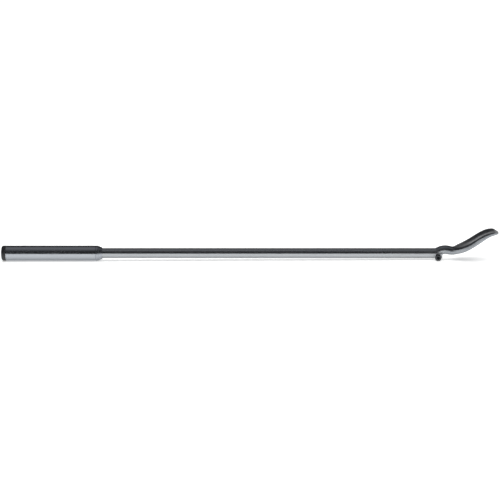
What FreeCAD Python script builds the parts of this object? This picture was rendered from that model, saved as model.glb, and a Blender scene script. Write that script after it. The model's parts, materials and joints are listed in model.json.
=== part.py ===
"""Truck tyre lever: a forged bar with a spoon at the tip, a tubular grip at the rear, and two heel
rollers under the neck that bear on the rim flange.

Frame, in millimetres: the origin is the centre of the grip's rear face, on the bar's axis. +X runs along
the bar to the spoon, +Z is the side that the spoon lifts to, and +Y is the left side.
"""
import FreeCAD
import Part

import math
import os

Vector = FreeCAD.Vector

# ---- driving dimensions ----------------------------------------------------------------------------
overall_length = 980.0     # rear face of the grip to the spoon's tip
bar_diameter = 20.0        # round bar that the lever is forged from

# grip
grip_wall = 3.0            # wall of the grip tube
sleeve_wall = 2.0          # radial gap between bar and tube, filled by the nose collar and rear sleeve
grip_tube_length = 177.0   # bare tube between the end plug's head and the nose collar
plug_head_length = 9.0
plug_edge_radius = 4.5     # rounding of the plug's rear rim
plug_ring_radius = 6.0     # moulded ring in the rear face, to its inner edge
plug_ring_width = 1.6
plug_ring_depth = 0.8
plug_shank_length = 17.0
plug_shank_wall = 2.4      # the shank is hollow, so that it springs into the tube
plug_rib_count = 4
plug_rib_height = 1.1
plug_rib_length = 2.0
nose_land_length = 4.0     # full-diameter stretch of the nose collar
nose_cone_length = 9.0
nose_front_wall = 1.2      # wall of the collar at its front edge
nose_shank_length = 26.0
rear_sleeve_length = 24.0
bar_inset = 22.0           # bar's rear end, from the rear end of the tube
bar_end_chamfer = 1.5
pin_diameter = 6.0         # slotted spring pins through tube, sleeve and bar
pin_wall = 1.2
pin_slot = 1.2
pin_sink = 0.4             # pin ends sit this far below the tube's surface
pin_end_chamfer = 0.5

# heel: a boss forged under the bar carries the axle of the two rollers
axle_diameter = 6.0
axle_inset = 4.0           # axle's centre, above the bar's underside
boss_wall = 2.2            # steel left round the axle
boss_overhang = 0.3        # boss's cheeks, beyond the bar's sides
cheek_drop = 1.0           # cheeks are upright up to this far below the bar's axis
cheek_rise = 4.0           # and lean in from there, to end inside the bar this far above its axis
cheek_inset = 1.5          # and this far inside its sides
roller_stand_out = 1.3     # roller's tread, beyond the boss
roller_width = 5.5
roller_edge_radius = 1.0
roller_groove_depth = 0.4  # turned ring in each of the roller's faces
bush_wall = 1.5            # plain bush pressed into each roller
washer_thickness = 0.8
washer_rim = 2.5           # washer's width from bore to rim
clip_thickness = 0.7
clip_rim = 1.5
clip_prong = 1.0           # radial reach of the clip's three prongs
clip_prong_share = 0.6     # width of a prong, to the radius of the axle's groove
clip_mouth_share = 0.9     # opening of the clip, to the diameter of the axle's groove
axle_groove_depth = 0.5
axle_tail = 1.4            # axle beyond its clip
axle_chamfer = 0.6
stop_to_axle = 9.0         # axle's centre to the stop face that the rim flange meets

# spoon
head_length = 110.0        # stop face to tip
neck_rise = 7.0            # neck's centre above the bar's axis, just past the stop face
saddle_rise = 5.3          # lowest point behind the hump
tip_lift = 43.2            # highest point of the spoon's centre line
neck_waist = 0.5           # the neck is narrower than the bar by this much on each side
neck_thinning = 1.2        # and thinner by this much, above and below
blade_width = 48.0
blade_thickness = 11.5
tip_thickness = 3.6
tip_flat = 6.0             # straight stretch of edge between the tip's two rounded corners
tip_bevel_angle = 20.0     # ground bevel on the upper face at the tip
tip_bevel_edge = 1.6       # steel left at the very edge under the bevel
dish_depth = 2.4           # hollow of the spoon's upper face
rim_squareness = 4.0       # the neck's section is an ellipse, and this makes the blade's squarer
section_points = 48        # points that each cross-section is drawn through
# stretches of the head, as shares of its length from the stop face
root_span = (-0.2, 0.05)     # the bar thins to the neck
thinning_span = (0.08, 0.34)  # the neck thins to the blade
spread_span = (0.1, 0.4)     # the neck widens to the blade
dish_span = (0.3, 0.6)       # the dish deepens
undish_span = (0.75, 1.0)    # the dish runs out
taper_span = (0.6, 1.06)     # the blade thins to the tip

# fits
static_gap = 0.02          # radial gap of parts that are pressed or pinned together
running_gap = 0.05         # radial gap of the rollers on their axle
end_gap = 0.12             # axial play between the pieces on the axle
over = 5.0                 # cutters reach this far past the surface that they cut
touch = 1e-6               # two places nearer than this are the same

# ---- derived sizes and places ----------------------------------------------------------------------
bar_radius = bar_diameter / 2
neck_width = bar_diameter - 2 * neck_waist
neck_thickness = bar_diameter - 2 * neck_thinning
pin_radius = pin_diameter / 2
grip_bore_radius = bar_radius + sleeve_wall
grip_radius = grip_bore_radius + grip_wall
tube_rear = plug_head_length
tube_front = tube_rear + grip_tube_length
bar_rear = tube_rear + bar_inset
rear_sleeve_start = bar_rear + bar_end_chamfer
rear_pin_x = rear_sleeve_start + rear_sleeve_length / 2
nose_shank_start = tube_front - nose_shank_length
front_pin_x = nose_shank_start + nose_shank_length / 2
nose_front = tube_front + nose_land_length + nose_cone_length

stop_x = overall_length - head_length
axle_x = stop_x - stop_to_axle
axle_z = axle_inset - bar_radius
axle_radius = axle_diameter / 2
boss_radius = axle_radius + boss_wall
boss_half_width = bar_radius + boss_overhang
roller_radius = boss_radius + roller_stand_out
bush_bore_radius = axle_radius + running_gap
bush_radius = bush_bore_radius + bush_wall
washer_radius = axle_radius + washer_rim
inner_washer_y = boss_half_width + end_gap
roller_y = inner_washer_y + washer_thickness + end_gap
outer_washer_y = roller_y + roller_width + end_gap
clip_y = outer_washer_y + washer_thickness + end_gap
axle_end_y = clip_y + clip_thickness + axle_tail


# ---- shape helpers ---------------------------------------------------------------------------------
def rod(radius, start, end, axis):
    """A cylinder between two places on the line through the origin along axis."""
    return Part.makeCylinder(radius, end - start, axis * start, axis)


def rod_x(radius, start, end):
    return rod(radius, start, end, Vector(1, 0, 0))


def ring_x(outer, inner, start, end):
    return rod_x(outer, start, end).cut(rod_x(inner, start - over, end + over))


def rod_y(radius, start, end):
    """A cylinder on the rollers' axis, between two distances from the lever's middle plane."""
    shape = rod(radius, start, end, Vector(0, 1, 0))
    shape.translate(Vector(axle_x, 0, axle_z))
    return shape


def ring_y(outer, inner, start, end):
    return rod_y(outer, start, end).cut(rod_y(inner, start - over, end + over))


def turned(profile):
    """A solid of revolution about the X axis, from an outline of (x, radius) points."""
    points = [Vector(x, 0, radius) for x, radius in profile]
    wire = Part.makePolygon(points + points[:1])
    return Part.Face(wire).revolve(Vector(0, 0, 0), Vector(1, 0, 0), 360)


def edges_at(shape, test):
    """The edges whose every vertex passes the test."""
    return [e for e in shape.Edges if e.Vertexes and all(test(v.Point) for v in e.Vertexes)]


def upright_rod(radius, half, x):
    """A vertical cylinder through the bar's axis, reaching half up and half down."""
    return Part.makeCylinder(radius, 2 * half, Vector(x, 0, -half))


def pin_hole(x):
    return upright_rod(pin_radius + static_gap, grip_radius + over, x)


def mirrored(shape):
    return shape.mirror(Vector(0, 0, 0), Vector(0, 1, 0))


# ---- the forged bar --------------------------------------------------------------------------------
def smooth_step(value, low, high):
    share = min(1.0, max(0.0, (value - low) / (high - low)))
    return share * share * (3 - 2 * share)


def spoon_line():
    """The centre line of neck and spoon, as a smooth curve in the middle plane."""
    stations = [
        (-0.2, 0.0),
        (-0.14, 0.06 * neck_rise),
        (-0.06, 0.5 * neck_rise),
        (0.0, 0.9 * neck_rise),
        (0.055, neck_rise),
        (0.17, saddle_rise),
        (0.28, 0.18 * tip_lift),
        (0.41, 0.32 * tip_lift),
        (0.56, 0.545 * tip_lift),
        (0.71, 0.8 * tip_lift),
        (0.85, 0.97 * tip_lift),
        (0.93, tip_lift),
        (1.03, 0.98 * tip_lift),
    ]
    points = [Vector(stop_x + share * head_length, 0, height) for share, height in stations]
    curve = Part.BSplineCurve()
    curve.interpolate(points)
    return curve, points, [share for share, _ in stations]


def spoon_section(centre, tangent, share):
    """One cross-section: round at the neck, and wide, flat and slightly dished in the spoon."""
    spread = smooth_step(share, *spread_span)
    thinning = smooth_step(share, *thinning_span)
    taper = smooth_step(share, *taper_span)
    half_width = (neck_width + (blade_width - neck_width) * spread) / 2
    root = neck_width + (neck_thickness - neck_width) * smooth_step(share, *root_span)
    body = root + (blade_thickness - root) * thinning
    half_thickness = (body + (tip_thickness - body) * taper) / 2
    power = 2 / (2 + rim_squareness * spread)
    dish = dish_depth * smooth_step(share, *dish_span) * (1 - smooth_step(share, *undish_span))
    normal = Vector(-tangent.z, 0, tangent.x)
    points = []
    for i in range(section_points):
        angle = 2 * math.pi * i / section_points
        across = half_width * math.copysign(abs(math.cos(angle)) ** power, math.cos(angle))
        up = half_thickness * math.copysign(abs(math.sin(angle)) ** power, math.sin(angle))
        if up > 0:
            up -= dish * max(0.0, 1 - (across / half_width) ** 2) ** 2
        points.append(centre + Vector(0, across, 0) + normal * up)
    loop = Part.BSplineCurve()
    loop.interpolate(points, PeriodicFlag=True)
    return Part.Wire([loop.toShape()])


def spoon_plan():
    """The spoon's outline from above, rounded at the tip's corners, as a tall prism."""
    rear = stop_x - head_length
    half = blade_width / 2 + over
    inner = tip_flat / 2
    corner = blade_width / 2 - inner
    bend = corner * math.sqrt(0.5)
    arc_x = overall_length - corner
    left = Part.Arc(
        Vector(overall_length, inner, 0),
        Vector(arc_x + bend, inner + bend, 0),
        Vector(arc_x, inner + corner, 0),
    )
    right = Part.Arc(
        Vector(arc_x, -inner - corner, 0),
        Vector(arc_x + bend, -inner - bend, 0),
        Vector(overall_length, -inner, 0),
    )
    outline = Part.Wire([
        Part.makeLine(Vector(overall_length, -inner, 0), Vector(overall_length, inner, 0)),
        left.toShape(),
        Part.makeLine(Vector(arc_x, inner + corner, 0), Vector(arc_x, half, 0)),
        Part.makeLine(Vector(arc_x, half, 0), Vector(rear, half, 0)),
        Part.makeLine(Vector(rear, half, 0), Vector(rear, -half, 0)),
        Part.makeLine(Vector(rear, -half, 0), Vector(arc_x, -half, 0)),
        Part.makeLine(Vector(arc_x, -half, 0), Vector(arc_x, -inner - corner, 0)),
        right.toShape(),
    ])
    depth = tip_lift + bar_diameter + over
    prism = Part.Face(outline).extrude(Vector(0, 0, 2 * depth))
    prism.translate(Vector(0, 0, -depth))
    return prism


def tip_bevel(line):
    """A wedge that grinds the upper face at the tip, leaving a blunt edge."""
    tip = line.intersect(Part.LineSegment(
        Vector(overall_length, 0, -over), Vector(overall_length, 0, tip_lift + over)))[0]
    edge_z = tip.Z - tip_thickness / 2 + tip_bevel_edge
    reach = head_length / 4
    rise = reach * math.tan(math.radians(tip_bevel_angle))
    corners = [
        Vector(overall_length + over, -blade_width, edge_z - over * rise / reach),
        Vector(overall_length - reach, -blade_width, edge_z + rise),
        Vector(overall_length + over, -blade_width, edge_z + rise),
    ]
    return Part.Face(Part.makePolygon(corners + corners[:1])).extrude(Vector(0, 2 * blade_width, 0))


def heel_boss():
    """The boss under the bar: a drum about the axle, with cheeks that lean in to the bar's sides."""
    drum = rod_y(boss_radius, -boss_half_width, boss_half_width)
    lean_in = bar_radius - cheek_inset
    outline = [
        Vector(0, -boss_half_width, axle_z),
        Vector(0, boss_half_width, axle_z),
        Vector(0, boss_half_width, -cheek_drop),
        Vector(0, lean_in, cheek_rise),
        Vector(0, -lean_in, cheek_rise),
        Vector(0, -boss_half_width, -cheek_drop),
    ]
    cheeks = Part.Face(Part.makePolygon(outline + outline[:1])).extrude(Vector(2 * boss_radius, 0, 0))
    cheeks.translate(Vector(axle_x - boss_radius, 0, 0))
    return drum.fuse(cheeks)


def lever_bar():
    line, points, shares = spoon_line()
    sections = []
    for point, share in zip(points, shares):
        tangent = line.tangent(line.parameter(point))[0]
        sections.append(spoon_section(point, tangent, share))
    spoon = Part.makeLoft(sections, True, False)
    spoon = spoon.common(spoon_plan()).cut(tip_bevel(line))
    bar = rod_x(bar_radius, bar_rear, stop_x)
    bar = bar.makeChamfer(bar_end_chamfer, edges_at(bar, lambda p: abs(p.x - bar_rear) < touch))
    shape = bar.fuse(spoon).fuse(heel_boss())
    shape = shape.cut(rod_y(axle_radius + static_gap, -boss_half_width - over, boss_half_width + over))
    for x in (rear_pin_x, front_pin_x):
        shape = shape.cut(pin_hole(x))
    return shape.removeSplitter()


# ---- the grip --------------------------------------------------------------------------------------
def grip_tube():
    tube = ring_x(grip_radius, grip_bore_radius, tube_rear, tube_front)
    return tube.cut(pin_hole(rear_pin_x)).cut(pin_hole(front_pin_x))


def end_plug():
    """A moulded plug: a round-edged head as wide as the tube, and a hollow shank with springy ribs."""
    head = rod_x(grip_radius, 0, plug_head_length)
    head = head.makeFillet(plug_edge_radius, edges_at(head, lambda p: abs(p.x) < touch))
    shank_radius = grip_bore_radius - plug_rib_height
    shank_end = plug_head_length + plug_shank_length
    shape = head.fuse(rod_x(shank_radius, plug_head_length, shank_end))
    pitch = plug_shank_length / plug_rib_count
    for i in range(plug_rib_count):
        rib_end = shank_end - i * pitch
        rib_start = rib_end - plug_rib_length
        shape = shape.fuse(turned([
            (rib_start, 0),
            (rib_start, grip_bore_radius - static_gap),
            (rib_end, shank_radius),
            (rib_end, 0),
        ]))
    shape = shape.cut(rod_x(shank_radius - plug_shank_wall, plug_head_length, shank_end + over))
    ring = ring_x(plug_ring_radius + plug_ring_width, plug_ring_radius, -over, plug_ring_depth)
    return shape.cut(ring).removeSplitter()


def nose_collar():
    """A turned collar: its shank fills the tube's front end, and its cone runs down to the bar."""
    land_end = tube_front + nose_land_length
    outer = turned([
        (nose_shank_start, 0),
        (nose_shank_start, grip_bore_radius - static_gap),
        (tube_front, grip_bore_radius - static_gap),
        (tube_front, grip_radius),
        (land_end, grip_radius),
        (nose_front, bar_radius + nose_front_wall),
        (nose_front, 0),
    ])
    bore = rod_x(bar_radius + static_gap, nose_shank_start - over, nose_front + over)
    return outer.cut(bore).cut(pin_hole(front_pin_x))


def rear_sleeve():
    sleeve = ring_x(
        grip_bore_radius - static_gap,
        bar_radius + static_gap,
        rear_sleeve_start,
        rear_sleeve_start + rear_sleeve_length,
    )
    return sleeve.cut(pin_hole(rear_pin_x))


def spring_pin(x):
    """A slotted spring pin, square to the bar, with its slot towards the grip's rear."""
    half = grip_radius - pin_sink
    pin = upright_rod(pin_radius, half, x)
    pin = pin.makeChamfer(pin_end_chamfer, edges_at(pin, lambda p: abs(abs(p.z) - half) < touch))
    reach = pin_radius + over
    slot = Part.makeBox(reach, pin_slot, 2 * (half + over))
    slot.translate(Vector(x - reach, -pin_slot / 2, -half - over))
    return pin.cut(upright_rod(pin_radius - pin_wall, half + over, x)).cut(slot)


# ---- the heel rollers, modelled on the left side ---------------------------------------------------
def heel_axle():
    axle = rod_y(axle_radius, -axle_end_y, axle_end_y)
    axle = axle.makeChamfer(axle_chamfer, edges_at(axle, lambda p: abs(abs(p.y) - axle_end_y) < touch))
    groove = ring_y(axle_radius + over, axle_radius - axle_groove_depth, clip_y, clip_y + clip_thickness)
    return axle.cut(groove).cut(mirrored(groove))


def washer(start):
    return ring_y(washer_radius, axle_radius + running_gap, start, start + washer_thickness)


def roller_bush():
    return ring_y(bush_radius, bush_bore_radius, roller_y, roller_y + roller_width)


def roller():
    """A turned roller with rounded tread edges and a shallow ring in each face."""
    body = rod_y(roller_radius, roller_y, roller_y + roller_width)
    body = body.makeFillet(roller_edge_radius, body.Edges[:1] + body.Edges[2:])
    body = body.cut(rod_y(bush_radius + static_gap, roller_y - over, roller_y + roller_width + over))
    rim = roller_radius - roller_edge_radius
    room = (rim - bush_radius) / 3
    for start in (roller_y - over, roller_y + roller_width - roller_groove_depth):
        body = body.cut(ring_y(rim - room, bush_radius + room, start, start + over + roller_groove_depth))
    return body


def retaining_clip():
    """A flat spring clip in the axle's groove: a ring, open below, with three prongs."""
    groove_radius = axle_radius - axle_groove_depth + static_gap
    inner = groove_radius + clip_prong
    start, end = clip_y + static_gap, clip_y + clip_thickness - static_gap
    clip = ring_y(inner + clip_rim, inner, start, end)
    mouth = 2 * groove_radius * clip_mouth_share
    clip = clip.cut(Part.makeBox(
        mouth, clip_thickness + 2 * over, inner + clip_rim + over,
        Vector(axle_x - mouth / 2, start - over, axle_z - inner - clip_rim - over)))
    prong_width = groove_radius * clip_prong_share
    for angle in (0, 90, 180):
        prong = Part.makeBox(
            inner + clip_rim / 2, end - start, prong_width,
            Vector(axle_x, start, axle_z - prong_width / 2))
        prong.rotate(Vector(axle_x, 0, axle_z), Vector(0, 1, 0), -angle)
        clip = clip.fuse(prong)
    return clip.cut(rod_y(groove_radius, start - over, end + over)).removeSplitter()


# ---- write one file per piece ----------------------------------------------------------------------
def all_parts():
    parts = {
        "lever_bar": lever_bar(),
        "grip_tube": grip_tube(),
        "grip_end_plug": end_plug(),
        "grip_nose_collar": nose_collar(),
        "grip_rear_sleeve": rear_sleeve(),
        "grip_front_spring_pin": spring_pin(front_pin_x),
        "grip_rear_spring_pin": spring_pin(rear_pin_x),
        "heel_axle": heel_axle(),
    }
    left = {
        "roller": roller(),
        "roller_bush": roller_bush(),
        "inner_washer": washer(inner_washer_y),
        "outer_washer": washer(outer_washer_y),
        "retaining_clip": retaining_clip(),
    }
    for name, shape in left.items():
        parts["left_" + name] = shape
        parts["right_" + name] = mirrored(shape)
    return parts


def main():
    os.makedirs("parts", exist_ok=True)
    for name, shape in all_parts().items():
        solids = shape.Solids
        print(f"{name}: {len(solids)} solid, valid {shape.isValid()}, {shape.Volume:.1f} mm3")
        body = solids[0] if len(solids) == 1 else Part.Compound(solids)
        body.exportStep(f"parts/{name}.step")


main()
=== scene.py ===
"""Looks of a truck tyre lever: a polished, dark-plated forging with a tubular grip and two heel rollers.

Lengths are in metres. +X runs from the grip's rear face to the spoon's tip, +Y is the left side, and +Z is
the side that the spoon lifts to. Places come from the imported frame's boxes.
"""

import json
import math

import bmesh
import bpy
import numpy as np
from mathutils import Matrix, Vector

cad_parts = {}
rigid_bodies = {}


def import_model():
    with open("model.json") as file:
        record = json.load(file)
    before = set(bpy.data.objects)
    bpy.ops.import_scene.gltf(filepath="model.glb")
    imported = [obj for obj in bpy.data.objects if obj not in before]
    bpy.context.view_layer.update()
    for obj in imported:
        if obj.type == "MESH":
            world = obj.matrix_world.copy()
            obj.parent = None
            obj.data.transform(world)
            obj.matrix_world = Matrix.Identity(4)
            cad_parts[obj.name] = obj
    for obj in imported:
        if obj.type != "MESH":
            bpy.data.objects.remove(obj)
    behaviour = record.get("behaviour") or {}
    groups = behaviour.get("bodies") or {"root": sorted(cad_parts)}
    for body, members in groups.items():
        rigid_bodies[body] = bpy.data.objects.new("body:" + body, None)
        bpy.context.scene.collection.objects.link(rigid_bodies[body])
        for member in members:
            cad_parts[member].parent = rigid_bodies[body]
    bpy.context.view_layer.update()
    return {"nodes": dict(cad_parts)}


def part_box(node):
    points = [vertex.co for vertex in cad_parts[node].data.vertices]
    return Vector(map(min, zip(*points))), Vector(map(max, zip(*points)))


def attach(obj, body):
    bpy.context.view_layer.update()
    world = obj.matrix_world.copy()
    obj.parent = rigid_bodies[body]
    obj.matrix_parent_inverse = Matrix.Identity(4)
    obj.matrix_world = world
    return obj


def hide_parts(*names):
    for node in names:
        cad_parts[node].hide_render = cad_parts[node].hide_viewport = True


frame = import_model()
scene = bpy.context.scene
mm = 0.001

# ---- sizes and places ------------------------------------------------------------------------------
tube_low, tube_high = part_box("grip_tube")
plug_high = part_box("grip_end_plug")[1]
collar_low, collar_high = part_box("grip_nose_collar")
sleeve_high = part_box("grip_rear_sleeve")[1]
bar_low, bar_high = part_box("lever_bar")
roller_low, roller_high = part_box("left_roller")
bush_low, bush_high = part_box("left_roller_bush")
axle_low, axle_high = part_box("heel_axle")
front_pin_x = sum(corner.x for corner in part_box("grip_front_spring_pin")) / 2
rear_pin_x = sum(corner.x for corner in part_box("grip_rear_spring_pin")) / 2

grip_radius = tube_high.z
bore_radius = sleeve_high.z
bar_radius = 10 * mm
fit = 0.02 * mm
running_fit = 0.05 * mm
roller_radius = (roller_high.z - roller_low.z) / 2
bush_radius = (bush_high.z - bush_low.z) / 2
axle_radius = (axle_high.z - axle_low.z) / 2
axle_place = Vector(((axle_low.x + axle_high.x) / 2, 0, (axle_low.z + axle_high.z) / 2))
pin_radius = 3 * mm
tip_x = bar_high.x
stop_x = tip_x - 110 * mm      # the heel's front face
head_start = stop_x - 40 * mm  # the straight bar ends here, and the forged head begins


# ---- helpers ---------------------------------------------------------------------------------------
def linear(hex_colour):
    """An sRGB hex colour as linear RGBA."""
    channels = [int(hex_colour[i:i + 2], 16) / 255 for i in (0, 2, 4)]
    return [c / 12.92 if c <= 0.04045 else ((c + 0.055) / 1.055) ** 2.4 for c in channels] + [1.0]


def node(tree, kind, settings=None, **links):
    """Adds a node. Settings name its attributes or inputs; links feed inputs by name, or by number as _0."""
    made = tree.nodes.new(kind)
    for name, value in (settings or {}).items():
        if isinstance(name, int):
            made.inputs[name].default_value = value
        elif hasattr(made, name):
            setattr(made, name, value)
        else:
            made.inputs[name].default_value = value
    for name, source in links.items():
        key = int(name[1:]) if name.startswith("_") else name.replace("_", " ")
        tree.links.new(source, made.inputs[key])
    return made


def put_in_scene(name, mesh):
    """A new object for the mesh, at the origin."""
    made = bpy.data.objects.new(name, mesh)
    scene.collection.objects.link(made)
    return made


def finished_mesh(source):
    """The object's mesh with its modifiers worked in; the object itself is thrown away."""
    bpy.context.view_layer.update()
    mesh = bpy.data.meshes.new_from_object(source.evaluated_get(bpy.context.evaluated_depsgraph_get()))
    bpy.data.objects.remove(source)
    return mesh


def outward(mesh):
    """Merges doubles and turns every face outward."""
    shape = bmesh.new()
    shape.from_mesh(mesh)
    bmesh.ops.remove_doubles(shape, verts=shape.verts, dist=1e-7)
    bmesh.ops.recalc_face_normals(shape, faces=shape.faces)
    shape.to_mesh(mesh)
    shape.free()


def shaded(name, mesh, crease=35):
    """A finished piece, smooth apart from creases, with flat faces that stay flat under the light."""
    mesh.polygons.foreach_set("use_smooth", [True] * len(mesh.polygons))
    mesh.set_sharp_from_angle(angle=math.radians(crease))
    made = put_in_scene(name, mesh)
    weighted = made.modifiers.new("flat_faces", "WEIGHTED_NORMAL")
    weighted.keep_sharp = True
    return put_in_scene(name, finished_mesh(made))


def show(piece, body, slot, *nodes):
    """Puts a piece on its body, in the place of the CAD nodes that it stands for. slot is not used."""
    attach(piece, body)
    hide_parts(*nodes)


# ---- materials -------------------------------------------------------------------------------------
def new_material(name, colour, metallic, roughness):
    """A Principled material with its tree, its shader and the piece's own coordinates."""
    material = bpy.data.materials.new(name)
    material.use_nodes = True
    tree = material.node_tree
    shader = tree.nodes["Principled BSDF"]
    shader.inputs["Base Color"].default_value = linear(colour)
    shader.inputs["Metallic"].default_value = metallic
    shader.inputs["Roughness"].default_value = roughness
    place = node(tree, "ShaderNodeTexCoord").outputs["Object"]
    return material, tree, shader, place


def noise(tree, place, size, detail=3.0, roughness=0.5):
    """Soft noise whose grains are about size across. A size of three values stretches the grains."""
    sizes = size if isinstance(size, tuple) else (size, size, size)
    scaled = node(tree, "ShaderNodeMapping", {"Scale": tuple(1 / length for length in sizes)}, Vector=place)
    settings = {"Scale": 1.0, "Detail": detail, "Roughness": roughness}
    return node(tree, "ShaderNodeTexNoise", settings, Vector=scaled.outputs[0]).outputs["Fac"]


def spread(tree, value, low, high):
    """Noise, which stays near a half, spread out between two values."""
    settings = {"From Min": 0.3, "From Max": 0.7, "To Min": low, "To Max": high}
    return node(tree, "ShaderNodeMapRange", settings, Value=value).outputs[0]


def fade(tree, value, start, end):
    """Rises smoothly from 0 to 1 between two places."""
    settings = {"interpolation_type": "SMOOTHSTEP", "From Min": start, "From Max": end}
    return node(tree, "ShaderNodeMapRange", settings, Value=value).outputs[0]


def blend(tree, share, first, second):
    """A value between two others."""
    return node(tree, "ShaderNodeMix", {"data_type": "FLOAT"}, _0=share, _2=first, _3=second).outputs[0]


def bump(tree, height, strength, depth, under=None):
    """Small relief on the shading, on top of any relief that is under it."""
    made = node(tree, "ShaderNodeBump", {"Strength": strength, "Distance": depth}, Height=height)
    if under:
        tree.links.new(under, made.inputs["Normal"])
    return made.outputs[0]


def plated_steel(name, colour, roughness, line_size):
    """Polished steel plated dark. Polishing leaves fine lines, which drag its reflections out, and
    handling leaves faint clouds in the gloss."""
    material, tree, shader, place = new_material(name, colour, 1.0, roughness)
    lines = noise(tree, place, line_size)
    clouds = noise(tree, place, 35 * mm, 4.0)
    cloudy = spread(tree, clouds, roughness - 0.04, roughness + 0.06)
    fine = spread(tree, lines, -0.03, 0.04)
    gloss = node(tree, "ShaderNodeMath", {"operation": "ADD"}, _0=cloudy, _1=fine)
    tree.links.new(gloss.outputs[0], shader.inputs["Roughness"])
    tree.links.new(bump(tree, lines, 0.25, 0.02 * mm), shader.inputs["Normal"])
    return material


def forged_steel():
    """A drop forging, plated dark. The straight bar is polished along its length. Towards the head the
    gloss falls to a blasted satin, over the shallow, uneven skin that forging dies leave."""
    polished = "A0A3A6"
    material, tree, shader, place = new_material("plated_drop_forging", polished, 1.0, 0.3)
    along = node(tree, "ShaderNodeSeparateXYZ", Vector=place).outputs["X"]
    satin_start, satin_full = stop_x - 170 * mm, stop_x - 60 * mm
    head_edge = 12 * mm
    satin = fade(tree, along, satin_start, satin_full)
    head = fade(tree, along, stop_x - head_edge, stop_x + head_edge)
    lines = noise(tree, place, (60 * mm, 0.4 * mm, 0.4 * mm))
    skin = noise(tree, place, 4 * mm, 4.0, 0.6)
    blasting = noise(tree, place, 0.5 * mm, 2.0)
    clouds = noise(tree, place, 22 * mm, 4.0)

    gloss = blend(tree, satin, spread(tree, lines, 0.2, 0.32), spread(tree, skin, 0.26, 0.38))
    tree.links.new(gloss, shader.inputs["Roughness"])

    dull, bright = "7B7F84", "989CA0"
    tones = {"data_type": "RGBA", 6: linear(dull), 7: linear(bright)}
    mottled = node(tree, "ShaderNodeMix", tones, _0=clouds).outputs[2]
    colour = node(tree, "ShaderNodeMix", {"data_type": "RGBA", 6: linear(polished)}, _0=head, _7=mottled)
    tree.links.new(colour.outputs[2], shader.inputs["Base Color"])

    none = node(tree, "ShaderNodeValue").outputs[0]
    relief = bump(tree, lines, 0.25, 0.02 * mm)
    relief = bump(tree, blend(tree, satin, none, blasting), 0.3, 0.04 * mm, relief)
    relief = bump(tree, blend(tree, head, none, skin), 0.5, 0.35 * mm, relief)
    tree.links.new(relief, shader.inputs["Normal"])
    return material


def roller_steel():
    """Hardened steel, blackened all over. Rolling on rims burnishes the tread back to bare metal."""
    blackened, burnished = "1D1F21", "A4A6A8"
    material, tree, shader, place = new_material("blackened_roller_steel", blackened, 1.0, 0.4)
    from_axle = node(tree, "ShaderNodeVectorMath", {"operation": "SUBTRACT", 1: axle_place}, _0=place)
    no_width = {"operation": "MULTIPLY", 1: (1, 0, 1)}
    flat = node(tree, "ShaderNodeVectorMath", no_width, _0=from_axle.outputs[0])
    radius = node(tree, "ShaderNodeVectorMath", {"operation": "LENGTH"}, _0=flat.outputs[0]).outputs["Value"]
    tread = fade(tree, radius, roller_radius - 0.5 * mm, roller_radius - 0.1 * mm)
    tones = {"data_type": "RGBA", 6: linear(blackened), 7: linear(burnished)}
    colour = node(tree, "ShaderNodeMix", tones, _0=tread)
    tree.links.new(colour.outputs[2], shader.inputs["Base Color"])
    gloss = spread(tree, noise(tree, place, 0.6 * mm), 0.34, 0.48)
    tree.links.new(gloss, shader.inputs["Roughness"])
    return material


def moulded_black():
    """Injection-moulded black polyethylene. A fine spark-eroded grain makes its gloss soft and even."""
    material, tree, shader, place = new_material("moulded_black_polyethylene", "17171A", 0.0, 0.48)
    shader.inputs["IOR"].default_value = 1.51
    tree.links.new(bump(tree, noise(tree, place, 0.5 * mm, 2.0), 0.35, 0.03 * mm), shader.inputs["Normal"])
    return material


def plain_metal(name, colour, roughness, grain):
    """A small metal part, whose fine grain breaks up its gloss."""
    material, tree, shader, place = new_material(name, colour, 1.0, roughness)
    gloss = spread(tree, noise(tree, place, grain), roughness - 0.06, roughness + 0.08)
    tree.links.new(gloss, shader.inputs["Roughness"])
    return material


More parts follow.
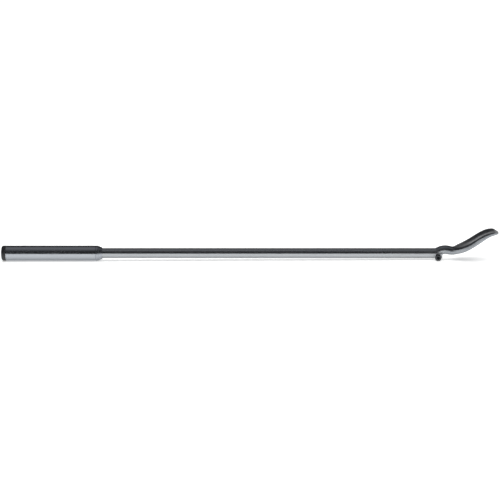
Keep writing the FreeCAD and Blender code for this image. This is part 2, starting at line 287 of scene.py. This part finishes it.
# ---- turned pieces ---------------------------------------------------------------------------------
def turning_tree():
    """Geometry Nodes that round an outline's corners and turn it about the X axis, like work on a lathe."""
    tree = bpy.data.node_groups.new("turned_piece", "GeometryNodeTree")
    sockets = (
        ("Outline", "NodeSocketGeometry", None),
        ("Closed", "NodeSocketInt", 1),
        ("Steps Around", "NodeSocketInt", 96),
        ("Steps per Corner", "NodeSocketInt", 8),
        ("Finish", "NodeSocketMaterial", None),
    )
    for name, kind, value in sockets:
        socket = tree.interface.new_socket(name=name, in_out="INPUT", socket_type=kind)
        if value is not None:
            socket.default_value = value
    tree.interface.new_socket(name="Piece", in_out="OUTPUT", socket_type="NodeSocketGeometry")
    given = node(tree, "NodeGroupInput").outputs
    line = node(tree, "GeometryNodeMeshToCurve", Mesh=given["Outline"])
    corner = node(tree, "GeometryNodeInputNamedAttribute", {"data_type": "FLOAT", "Name": "corner"})
    rounded = node(tree, "GeometryNodeFilletCurve", {"mode": "POLY", "Limit Radius": True},
                   Curve=line.outputs[0], Count=given["Steps per Corner"], Radius=corner.outputs[0])
    section = node(tree, "GeometryNodeCurveToMesh", Curve=rounded.outputs[0])
    points = node(tree, "GeometryNodeAttributeDomainSize", Geometry=section.outputs[0]).outputs["Point Count"]
    columns = node(tree, "ShaderNodeMath", {"operation": "ADD"}, _0=points, _1=given["Closed"])
    length = node(tree, "ShaderNodeMath", {"operation": "SUBTRACT", 1: 1.0}, _0=columns.outputs[0])
    rows = node(tree, "ShaderNodeMath", {"operation": "ADD", 1: 1.0}, _0=given["Steps Around"])
    grid = node(tree, "GeometryNodeMeshGrid", Size_X=length.outputs[0], Size_Y=given["Steps Around"],
                Vertices_X=columns.outputs[0], Vertices_Y=rows.outputs[0])
    position = node(tree, "GeometryNodeInputPosition").outputs[0]
    across = node(tree, "ShaderNodeSeparateXYZ", Vector=position).outputs
    half_length = node(tree, "ShaderNodeMath", {"operation": "MULTIPLY", 1: 0.5}, _0=length.outputs[0])
    column = node(tree, "ShaderNodeMath", {"operation": "ADD"}, _0=across["X"], _1=half_length.outputs[0])
    whole = node(tree, "ShaderNodeMath", {"operation": "ROUND"}, _0=column.outputs[0])
    wrapped = node(tree, "ShaderNodeMath", {"operation": "MODULO"}, _0=whole.outputs[0], _1=points)
    sampled = node(tree, "GeometryNodeSampleIndex", {"data_type": "FLOAT_VECTOR", "domain": "POINT"},
                   Geometry=section.outputs[0], Value=position, Index=wrapped.outputs[0])
    profile = node(tree, "ShaderNodeSeparateXYZ", Vector=sampled.outputs[0]).outputs
    share = node(tree, "ShaderNodeMath", {"operation": "DIVIDE"}, _0=across["Y"], _1=given["Steps Around"])
    angle = node(tree, "ShaderNodeMath", {"operation": "MULTIPLY", 1: 2 * math.pi}, _0=share.outputs[0])
    cosine = node(tree, "ShaderNodeMath", {"operation": "COSINE"}, _0=angle.outputs[0])
    sine = node(tree, "ShaderNodeMath", {"operation": "SINE"}, _0=angle.outputs[0])
    side = node(tree, "ShaderNodeMath", {"operation": "MULTIPLY"}, _0=profile["Y"], _1=cosine.outputs[0])
    height = node(tree, "ShaderNodeMath", {"operation": "MULTIPLY"}, _0=profile["Y"], _1=sine.outputs[0])
    place = node(tree, "ShaderNodeCombineXYZ", X=profile["X"], Y=side.outputs[0], Z=height.outputs[0])
    turned = node(tree, "GeometryNodeSetPosition", Geometry=grid.outputs[0], Position=place.outputs[0])
    merged = node(tree, "GeometryNodeMergeByDistance", {"Distance": 1e-6}, Geometry=turned.outputs[0])
    real = node(tree, "GeometryNodeRealizeInstances", Geometry=merged.outputs[0])
    coloured = node(tree, "GeometryNodeSetMaterial", Geometry=real.outputs[0], Material=given["Finish"])
    node(tree, "NodeGroupOutput", Piece=coloured.outputs[0])
    return tree


lathe = turning_tree()


def set_inputs(modifier, **values):
    """Sets a Geometry Nodes modifier's inputs by their names in the tree."""
    for socket in modifier.node_group.interface.items_tree:
        key = socket.name.lower().replace(" ", "_")
        if socket.in_out == "INPUT" and key in values:
            modifier[socket.identifier] = values[key]


def turned(name, outline, finish, along=None, steps_around=96):
    """A turned piece from (place along the axis, radius, corner rounding) points. An outline that starts and
    ends on the axis is solid; any other is a closed ring. along is +1 or -1 for a piece on the axle."""
    closed = outline[0][1] > 0
    mesh = bpy.data.meshes.new(name)
    count = len(outline)
    edges = [(i, i + 1) for i in range(count - 1)] + ([(count - 1, 0)] if closed else [])
    mesh.from_pydata([(at, radius, 0) for at, radius, _ in outline], edges, [])
    mesh.attributes.new("corner", "FLOAT", "POINT").data.foreach_set("value", [c for _, _, c in outline])
    blank = put_in_scene(name + "_blank", mesh)
    modifier = blank.modifiers.new("lathe", "NODES")
    modifier.node_group = lathe
    set_inputs(modifier, closed=int(closed), steps_around=steps_around, finish=finish)
    result = finished_mesh(blank)
    if along:
        result.transform(Matrix.Translation(axle_place) @ Matrix.Diagonal((1, along, 1, 1))
                         @ Matrix.Rotation(math.radians(90), 4, "Z"))
    outward(result)
    return result


def grip_tube(finish):
    """The drawn tube, with broken edges and a countersunk hole at each end of each pin."""
    break_radius, station_gap, stations_each_side = 0.4 * mm, 0.8 * mm, 6
    near_pin = [step * station_gap for step in range(-stations_each_side, stations_each_side + 1)]
    stations = sorted(x + step for x in (rear_pin_x, front_pin_x) for step in near_pin)
    outside = [(x, grip_radius, 0) for x in stations]
    inside = [(x, bore_radius, 0) for x in reversed(stations)]
    front = [(tube_high.x, grip_radius, break_radius), (tube_high.x, bore_radius, break_radius)]
    rear = [(tube_low.x, bore_radius, break_radius), (tube_low.x, grip_radius, break_radius)]
    outline = outside + front + inside + rear
    tube = put_in_scene("tube_blank", turned("tube", outline, finish, steps_around=128))
    sink = 0.5 * mm
    reach = grip_radius + 2 * mm
    hole = pin_radius + fit
    flare = hole + sink + reach - grip_radius
    profile = [(0, 0, 0), (0, hole, 0), (grip_radius - sink, hole, 0), (reach, flare, 0), (reach, 0, 0)]
    for x in (rear_pin_x, front_pin_x):
        for turn in (-90, 90):
            cutter = turned("cutter", profile, finish, steps_around=48)
            cutter.transform(Matrix.Translation((x, 0, 0)) @ Matrix.Rotation(math.radians(turn), 4, "Y"))
            cut = tube.modifiers.new("pin_hole", "BOOLEAN")
            cut.solver = "EXACT"
            cut.operation = "DIFFERENCE"
            cut.object = put_in_scene("pin_hole_cutter", cutter)
    mesh = finished_mesh(tube)
    for cutter in [o for o in scene.objects if o.name.startswith("pin_hole_cutter")]:
        bpy.data.objects.remove(cutter)
    return shaded("drawn_grip_tube", mesh)


def end_plug(finish):
    """The moulded plug: a round-edged head with a ring in its face, and a hollow shank with springy ribs."""
    ring_inner, ring_outer, ring_depth, rim_radius = 6 * mm, 7.6 * mm, 0.8 * mm, 4.5 * mm
    rib_height, rib_length, ribs, wall = 1.1 * mm, 2 * mm, 4, 2.4 * mm
    soft = 0.25 * mm
    head_end = tube_low.x
    shank = bore_radius - rib_height
    pitch = (plug_high.x - head_end) / ribs
    outline = [(0, 0, 0), (0, ring_inner, soft), (ring_depth, ring_inner, soft),
               (ring_depth, ring_outer, soft), (0, ring_outer, soft), (0, grip_radius, rim_radius),
               (head_end - fit, grip_radius, soft), (head_end - fit, shank, soft)]
    for rib in range(ribs):
        end = head_end + (rib + 1) * pitch
        outline += [(end - rib_length, shank, 0), (end - rib_length, bore_radius - fit, soft),
                    (end, shank, soft)]
    outline += [(plug_high.x, shank - wall, soft), (head_end, shank - wall, soft), (head_end, 0, 0)]
    return shaded("moulded_end_plug", turned("end_plug", outline, finish))


def nose_collar(finish):
    """The turned collar: a shank inside the tube, a full-width land, and a cone down to the bar."""
    land, cone_edge, front_wall, edge = 4 * mm, 1.2 * mm, 1.2 * mm, 0.5 * mm
    bore = bar_radius + fit
    seat = tube_high.x + fit
    outline = [(collar_low.x, bore, edge), (collar_low.x, bore_radius - fit, edge),
               (seat, bore_radius - fit, 0), (seat, grip_radius, edge),
               (tube_high.x + land, grip_radius, cone_edge),
               (collar_high.x, bar_radius + front_wall, edge), (collar_high.x, bore, edge)]
    return shaded("turned_nose_collar", turned("nose_collar", outline, finish))


def named_for(side, name):
    """A piece's name on the left side, which is +1, or the right, which is -1."""
    return ("left_" if side > 0 else "right_") + name


def roller(side, finish):
    """A heel roller: slightly crowned tread, rounded edges and a shallow ring in each face."""
    start, end = roller_low.y, roller_high.y
    middle, half = (start + end) / 2, (end - start) / 2
    bore, edge, crown, groove, crisp = bush_radius + fit, 1 * mm, 0.08 * mm, 0.4 * mm, 0.1 * mm
    rim = roller_radius - edge
    room = (rim - bush_radius) / 3
    inner, outer, shoulder = bush_radius + room, rim - room, roller_radius - crown
    tread = [(middle + half * share, roller_radius - crown * share ** 2, 0) for share in (-0.5, 0, 0.5)]
    near = [(start, bore, crisp), (start, inner, crisp), (start + groove, inner, crisp),
            (start + groove, outer, crisp), (start, outer, crisp), (start, shoulder, edge)]
    far = [(start + end - at, radius, corner) for at, radius, corner in reversed(near)]
    return shaded(named_for(side, "heel_roller"), turned("roller", near + tread + far, finish, side))


def ring_on_axle(name, cad_node, side, finish, edge):
    """A plain ring that runs on the axle, such as a bush or a washer, in the place of a CAD node."""
    low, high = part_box("left_" + cad_node)
    inner, outer = axle_radius + running_fit, (high.z - low.z) / 2
    outline = [(low.y, inner, edge), (low.y, outer, edge), (high.y, outer, edge), (high.y, inner, edge)]
    return shaded(named_for(side, name), turned(name, outline, finish, side))


def heel_axle(finish):
    """The cross axle, chamfered and centre-drilled at both ends, with a groove for each clip."""
    clip_low, clip_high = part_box("left_retaining_clip")
    end, chamfer, groove, centre, crisp = axle_high.y, 0.6 * mm, 0.5 * mm, 0.7 * mm, 0.15 * mm
    neck = axle_radius - groove
    half = [(end - centre, 0, 0), (end, centre, crisp / 3), (end, axle_radius - chamfer, crisp),
            (end - chamfer, axle_radius, crisp), (clip_high.y + fit, axle_radius, 0),
            (clip_high.y + fit, neck, 0), (clip_low.y - fit, neck, 0), (clip_low.y - fit, axle_radius, 0)]
    outline = [(-at, radius, corner) for at, radius, corner in half] + half[::-1]
    return shaded("grooved_heel_axle", turned("axle", outline, finish, 1, steps_around=64))


# ---- the forging -----------------------------------------------------------------------------------
def evened(mesh, rounds, share):
    """Moves each vertex towards the mean of its neighbours, then a little back, so that corners round and
    the piece keeps its size. share gives each vertex's part of the move."""
    count = len(mesh.vertices)
    places = np.empty(count * 3)
    mesh.vertices.foreach_get("co", places)
    places = places.reshape(-1, 3)
    ends = np.empty(len(mesh.edges) * 2, int)
    mesh.edges.foreach_get("vertices", ends)
    a, b = ends.reshape(-1, 2).T
    neighbours = np.bincount(a, minlength=count) + np.bincount(b, minlength=count)
    weight = share(places)[:, None]
    forward, back = 0.6, -0.55
    for step in [forward, back] * rounds:
        total = np.stack([np.bincount(a, places[b, k], count) + np.bincount(b, places[a, k], count)
                          for k in range(3)], axis=1)
        places = places + step * weight * (total / neighbours[:, None] - places)
    return places


def smooth_step(value, low, high):
    """Rises smoothly from 0 to 1 between two values."""
    share = np.clip((value - low) / (high - low), 0, 1)
    return share * share * (3 - 2 * share)


def trimmed_flash(places):
    """The low ridge round the spoon's edge where the dies met and the flash was trimmed off."""
    height, half_width = 0.18 * mm, 0.55 * mm
    rim_share, side_share, window = 0.96, 0.8, 9
    neck_start, neck_full = stop_x + 5 * mm, stop_x + 20 * mm
    tip_full, tip_end = tip_x - 30 * mm, tip_x - 20 * mm
    x, y, z = places.T
    station = ((x - x.min()) / mm).astype(int)
    reach = np.zeros(station.max() + 1)
    np.maximum.at(reach, station, abs(y))
    on_edge = abs(y) > rim_share * reach[station]
    count = np.bincount(station[on_edge], minlength=len(reach))
    middle = np.bincount(station[on_edge], z[on_edge], len(reach)) / np.maximum(count, 1)
    padded = np.pad(middle, window // 2, mode="edge")
    middle = np.convolve(padded, np.ones(window) / window, mode="valid")
    middle_here = np.interp((x - x.min()) / mm - 0.5, np.arange(len(reach)), middle)
    on_side = abs(y) > side_share * reach[station]
    ridge = height * np.exp(-((z - middle_here) / half_width) ** 2) * on_side
    fade_in = smooth_step(x, neck_start, neck_full)
    fade_out = 1 - smooth_step(x, tip_full, tip_end)
    return np.sign(y) * ridge * fade_in * fade_out


def head_mesh():
    """The head's surface at an even grain, with the corners between bar, boss, neck and spoon blended as
    forging dies leave them. Where it meets the straight bar it is exactly round."""
    grain, rounds, spoon_share = 0.5 * mm, 18, 0.8
    neck_end, spoon_start = stop_x + 15 * mm, stop_x + 40 * mm
    round_end, free_start, skin_share = head_start + 6 * mm, head_start + 12 * mm, 0.8
    shape = bmesh.new()
    shape.from_mesh(frame["nodes"]["lever_bar"].data)
    bmesh.ops.remove_doubles(shape, verts=shape.verts, dist=1e-6)
    everything = shape.verts[:] + shape.edges[:] + shape.faces[:]
    cut = {"plane_co": (head_start, 0, 0), "plane_no": (1, 0, 0), "clear_inner": True}
    bmesh.ops.bisect_plane(shape, geom=everything, **cut)
    rim = [edge for edge in shape.edges if edge.is_boundary]
    bmesh.ops.contextual_create(shape, geom=rim)
    mesh = bpy.data.meshes.new("head")
    shape.to_mesh(mesh)
    shape.free()
    blank = put_in_scene("head_blank", mesh)
    remesh = blank.modifiers.new("even_grain", "REMESH")
    remesh.mode = "VOXEL"
    remesh.voxel_size = grain
    mesh = finished_mesh(blank)

    def share(places):
        return 1 - (1 - spoon_share) * smooth_step(places[:, 0], neck_end, spoon_start)

    places = evened(mesh, rounds, share)
    places[:, 1] += trimmed_flash(places)
    roundness = 1 - smooth_step(places[:, 0], round_end, free_start)
    radius = np.hypot(places[:, 1], places[:, 2])
    on_skin = roundness * (radius > skin_share * bar_radius)
    places[:, 1:] *= (1 + on_skin * (bar_radius / np.maximum(radius, 1e-6) - 1))[:, None]
    places = np.clip(places, bar_low, bar_high)
    mesh.vertices.foreach_set("co", places.ravel())
    mesh.update()
    return mesh


def lever_forging(finish):
    """The whole forging: the straight bar is turned, and the head follows on from it."""
    bar_end, chamfer, crisp, lap = bar_low.x, 1.5 * mm, 0.3 * mm, 3 * mm
    outline = [(bar_end, 0, 0), (bar_end, bar_radius - chamfer, crisp),
               (bar_end + chamfer, bar_radius, crisp), (head_start, bar_radius, 0),
               (head_start, bar_radius - fit, 0), (head_start + lap, bar_radius - fit, 0),
               (head_start + lap, 0, 0)]
    bar = turned("bar", outline, finish, steps_around=128)
    shape = bmesh.new()
    shape.from_mesh(bar)
    shape.from_mesh(head_mesh())
    mesh = bpy.data.meshes.new("forging")
    shape.to_mesh(mesh)
    shape.free()
    mesh.materials.append(finish)
    return shaded("forged_lever", mesh, crease=50)


# ---- the studio ------------------------------------------------------------------------------------
def studio_floor():
    """A plain pale floor that the grip's front edge and the rollers stand on."""
    reach, glow = 7.0, 0.48
    slope = (roller_low.z + grip_radius) / (axle_place.x - tube_high.x)
    middle = tip_x / 2
    corners = [(middle + dx * reach, dy * reach, -grip_radius + (middle + dx * reach - tube_high.x) * slope)
               for dx, dy in ((-1, -1), (1, -1), (1, 1), (-1, 1))]
    mesh = bpy.data.meshes.new("studio_floor")
    mesh.from_pydata(corners, [], [(0, 1, 2, 3)])
    material, tree, shader, _ = new_material("lit_opal_acrylic", "F2F2F1", 0.0, 0.9)
    shader.inputs["Emission Color"].default_value = linear("FFFFFF")
    shader.inputs["Emission Strength"].default_value = glow
    mesh.materials.append(material)
    put_in_scene("studio_floor", mesh)


def softbox(name, place, side_length, power):
    """A square of soft light that shines straight down and is flagged off from the steel's reflections."""
    data = bpy.data.lights.new(name, "AREA")
    data.size = side_length
    data.energy = power
    light = bpy.data.objects.new(name, data)
    light.location = place
    light.visible_glossy = False
    scene.collection.objects.link(light)


def studio_world():
    """A dim room, dark near the horizon and lighter overhead, with a glow low on its far side. This is what
    the polished steel mirrors."""
    room = ((0.0, 0.035), (0.3, 0.04), (0.72, 0.07), (1.0, 0.29))  # height and brightness
    blue_tint = 1.05
    glow_edge, glow_full, glow_top = 0.3, 0.95, 0.3
    world = bpy.data.worlds.new("studio")
    world.use_nodes = True
    tree = world.node_tree
    direction = node(tree, "ShaderNodeTexCoord").outputs["Generated"]
    across = node(tree, "ShaderNodeSeparateXYZ", Vector=direction).outputs
    ramp = node(tree, "ShaderNodeValToRGB", Fac=across["Z"])
    for _ in room[2:]:
        ramp.color_ramp.elements.new(0.5)
    for element, (height, level) in zip(ramp.color_ramp.elements, room):
        element.position = height
        element.color = (level, level, level * blue_tint, 1)
    facing = fade(tree, across["Y"], glow_edge, glow_full)
    low = fade(tree, across["Z"], glow_top, 0.0)
    glow = node(tree, "ShaderNodeMath", {"operation": "MULTIPLY"}, _0=facing, _1=low).outputs[0]
    lit = node(tree, "ShaderNodeVectorMath", {"operation": "ADD"}, _0=ramp.outputs["Color"], _1=glow)
    tree.links.new(lit.outputs[0], tree.nodes["Background"].inputs["Color"])
    scene.world = world


def studio_camera():
    """A long lens from the right side of the lever, a little above it, with the whole lever in its width."""
    elevation, distance, picture_width = math.radians(14), 3.7, 0.9871
    aim = Vector((tip_x / 2 + 0.5 * mm, 0, 6.3 * mm))
    data = bpy.data.cameras.new("studio_camera")
    data.sensor_width = 36.0
    data.lens = data.sensor_width * distance / picture_width
    camera = bpy.data.objects.new("studio_camera", data)
    back = Vector((0, -math.cos(elevation), math.sin(elevation)))
    camera.location = aim + back * distance
    camera.rotation_euler = back.to_track_quat("Z", "Y").to_euler()
    scene.collection.objects.link(camera)
    scene.camera = camera


# ---- put it together -------------------------------------------------------------------------------
bar_steel = forged_steel()
tube_steel = plated_steel("polished_plated_tube", "A0A4A9", 0.19, (80 * mm, 0.5 * mm, 0.5 * mm))
collar_steel = plated_steel("turned_plated_collar", "989CA2", 0.24, (0.4 * mm, 60 * mm, 60 * mm))
black_plastic = moulded_black()
tread_steel = roller_steel()
black_oxide = plain_metal("black_oxide_steel", "1D1F21", 0.42, 0.6 * mm)
bronze = plain_metal("sintered_bronze", "A07A45", 0.42, 0.3 * mm)
washer_steel = plain_metal("phosphated_washer_steel", "6A6B6C", 0.4, 0.5 * mm)
spring_steel = plain_metal("tempered_spring_steel", "44464A", 0.36, 0.5 * mm)

show(lever_forging(bar_steel), "lever", "forged_steel", "lever_bar")
show(grip_tube(tube_steel), "lever", "tube_steel", "grip_tube")
show(end_plug(black_plastic), "lever", "plug_plastic", "grip_end_plug")
show(nose_collar(collar_steel), "lever", "collar_steel", "grip_nose_collar")
show(heel_axle(black_oxide), "lever", "blackened_steel", "heel_axle")
for side, hand in ((1, "left"), (-1, "right")):
    wheel = hand + "_wheel"
    show(roller(side, tread_steel), wheel, "roller_steel", hand + "_roller")
    bush = ring_on_axle("bronze_bush", "roller_bush", side, bronze, 0.1 * mm)
    show(bush, wheel, "bush_bronze", hand + "_roller_bush")
    for where in ("inner", "outer"):
        washer = ring_on_axle(where + "_thrust_washer", where + "_washer", side, washer_steel, 0.12 * mm)
        show(washer, "lever", "plain_steel", f"{hand}_{where}_washer")

kept = {
    "grip_rear_sleeve": washer_steel,
    "grip_front_spring_pin": spring_steel,
    "grip_rear_spring_pin": spring_steel,
    "left_retaining_clip": spring_steel,
    "right_retaining_clip": spring_steel,
}
for name, finish in kept.items():
    frame["nodes"][name].data.materials.clear()
    frame["nodes"][name].data.materials.append(finish)

studio_floor()
above_lever = Vector((tip_x / 2, 0.5, 4))
softbox("overhead_softbox", above_lever, side_length=8, power=370)
studio_world()
studio_camera()
scene.view_settings.view_transform = "Standard"
